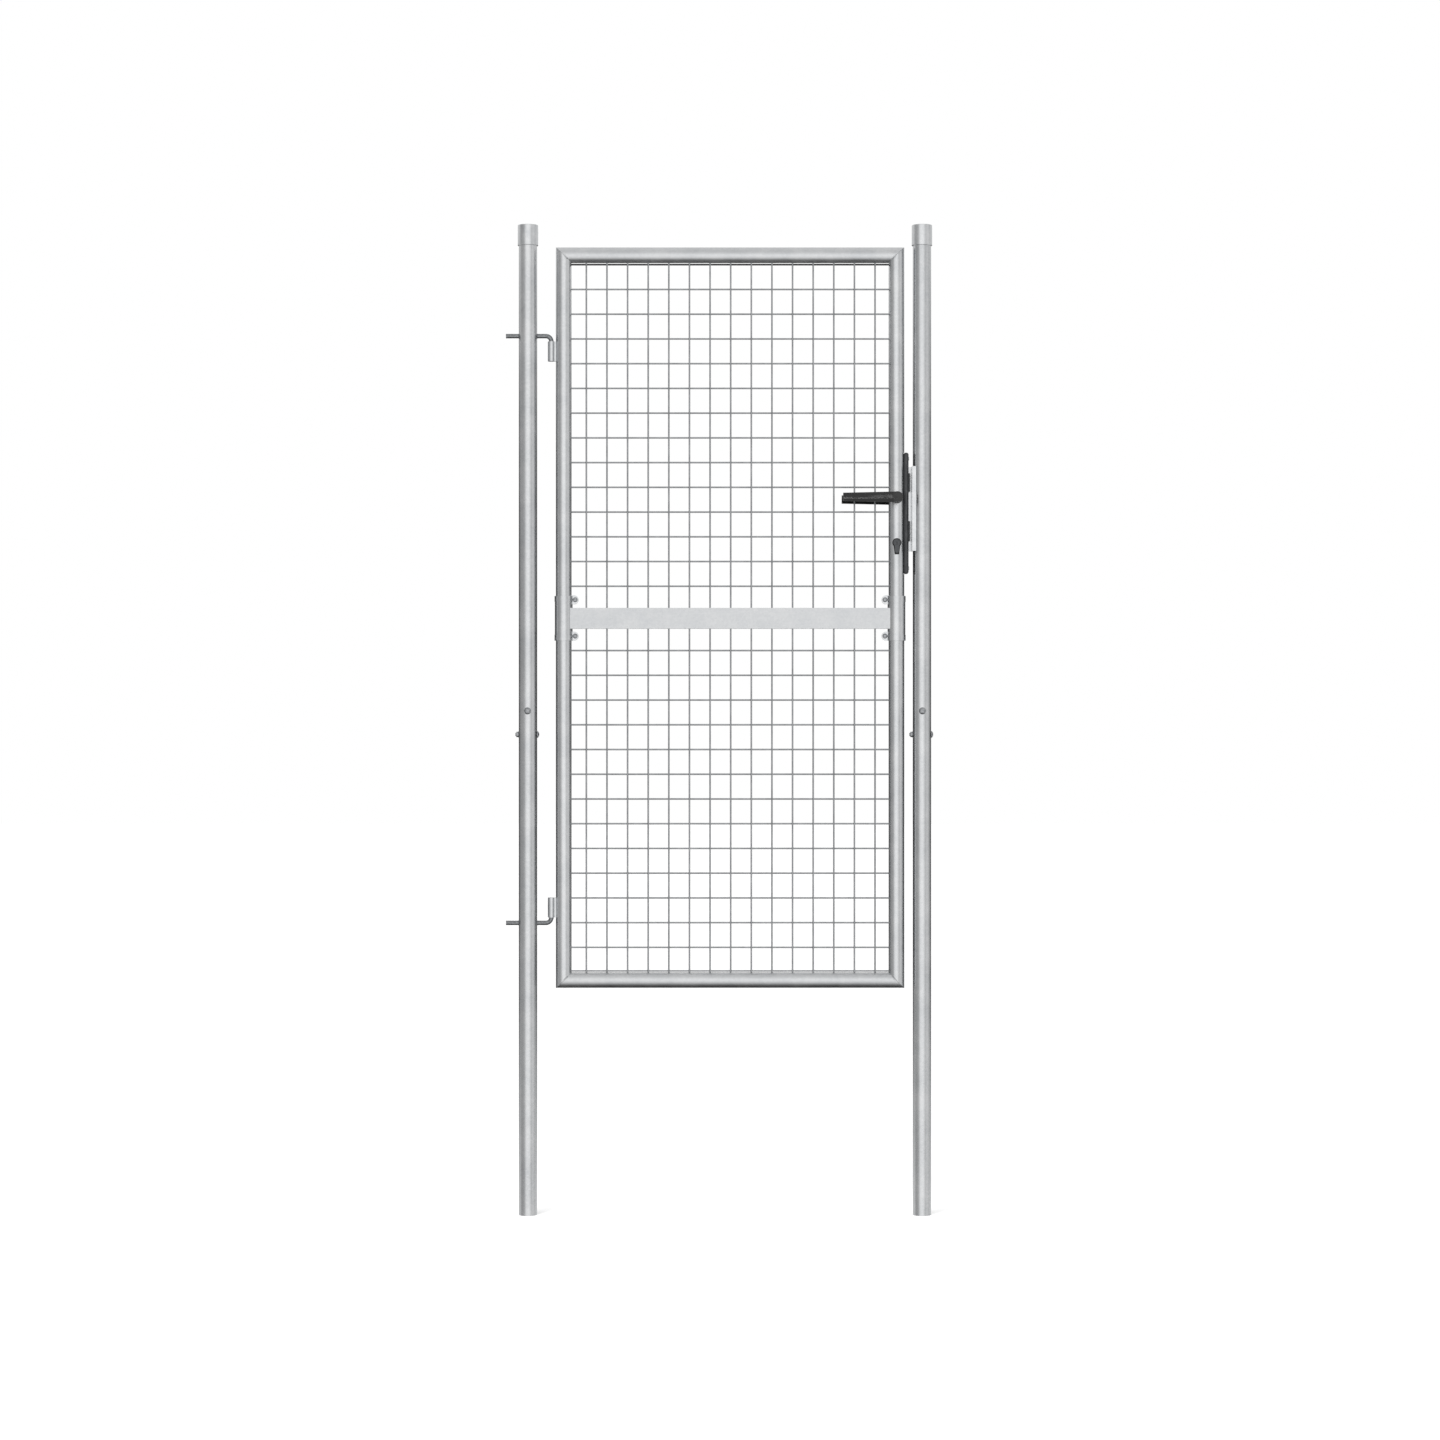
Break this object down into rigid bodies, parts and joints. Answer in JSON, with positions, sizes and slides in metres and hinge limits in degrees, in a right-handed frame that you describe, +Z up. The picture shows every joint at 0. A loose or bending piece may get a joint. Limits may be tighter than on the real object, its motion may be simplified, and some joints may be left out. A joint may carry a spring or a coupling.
{
  "type": "steel garden gate",
  "caption": "Hinged wire mesh garden gate leaf in a round tube frame between two capped tubular posts, with lever handles, lock and keeper.",
  "frame": {"origin": "centre of the hinge post's foot, at ground level", "axes": "+Z up along the posts, +X from the hinge post to the lock post, +Y away from the side that the gate opens towards"},
  "size_m": [1.0364, 0.113, 2.4],
  "materials": {
    "post_steel": "galvanised steel tube, satin",
    "frame_steel": "galvanised steel, satin",
    "cap_steel": "galvanised pressed sheet steel, satin",
    "mesh_wire": "galvanised welded wire",
    "fastener_steel": "zinc plated steel",
    "lock_steel": "dark coated steel",
    "black_plastic": "glossy moulded black plastic"
  },
  "bodies": {
    "posts": {"hinge_post_lower": "post_steel", "hinge_post_upper": "post_steel", "hinge_post_connector": "post_steel", "hinge_post_cap": "cap_steel", "hinge_post_bolts": "fastener_steel", "lock_post_lower": "post_steel", "lock_post_upper": "post_steel", "lock_post_connector": "post_steel", "lock_post_cap": "cap_steel", "lock_post_bolts": "fastener_steel", "upper_hinge_bolt": "fastener_steel", "lower_hinge_bolt": "fastener_steel", "lock_keeper": "cap_steel"},
    "leaf": {"top_rail": "frame_steel", "bottom_rail": "frame_steel", "hinge_stile_upper": "frame_steel", "hinge_stile_lower": "frame_steel", "lock_stile_upper": "frame_steel", "lock_stile_lower": "frame_steel", "middle_bar": "frame_steel", "upper_mesh_panel": "mesh_wire", "lower_mesh_panel": "mesh_wire", "upper_hinge_sleeve": "frame_steel", "lower_hinge_sleeve": "frame_steel", "hinge_stile_clamp": "frame_steel", "lock_stile_clamp": "frame_steel", "hinge_clamp_bolts": "fastener_steel", "lock_clamp_bolts": "fastener_steel", "lock_case": "lock_steel", "lock_forend": "lock_steel", "forend_screws": "lock_steel", "front_rose": "black_plastic", "rear_rose": "black_plastic", "front_escutcheon": "black_plastic", "rear_escutcheon": "black_plastic", "lock_cylinder": "lock_steel"},
    "handle": {"front_lever": "black_plastic", "rear_lever": "black_plastic", "handle_spindle": "fastener_steel"},
    "latch": {"latch_bolt": "lock_steel"},
    "dead_bolt": {"dead_bolt": "lock_steel"}
  },
  "joints": [
    {"name": "gate_swing", "type": "hinge", "parent": "posts", "child": "leaf", "pos_m": [0.05665, 0, 1.45], "axis": [0, 0, -1], "range_deg": [0, 110]},
    {"name": "handle_turn", "type": "hinge", "parent": "leaf", "child": "handle", "pos_m": [0.89365, 0, 1.738], "axis": [0, -1, 0], "range_deg": [0, 35], "stiffness_Nm_per_rad": 1, "springref_deg": -22.92},
    {"name": "latch_slide", "type": "slide", "parent": "leaf", "child": "latch", "axis": [-1, 0, 0], "range_m": [0, 0.004]},
    {"name": "dead_bolt_slide", "type": "slide", "parent": "leaf", "child": "dead_bolt", "axis": [-1, 0, 0], "range_m": [0, 0.004]}
  ],
  "couplings": [
    {"joint": "latch_slide", "follows": "handle_turn", "m_per_rad": 0.0065}
  ]
}
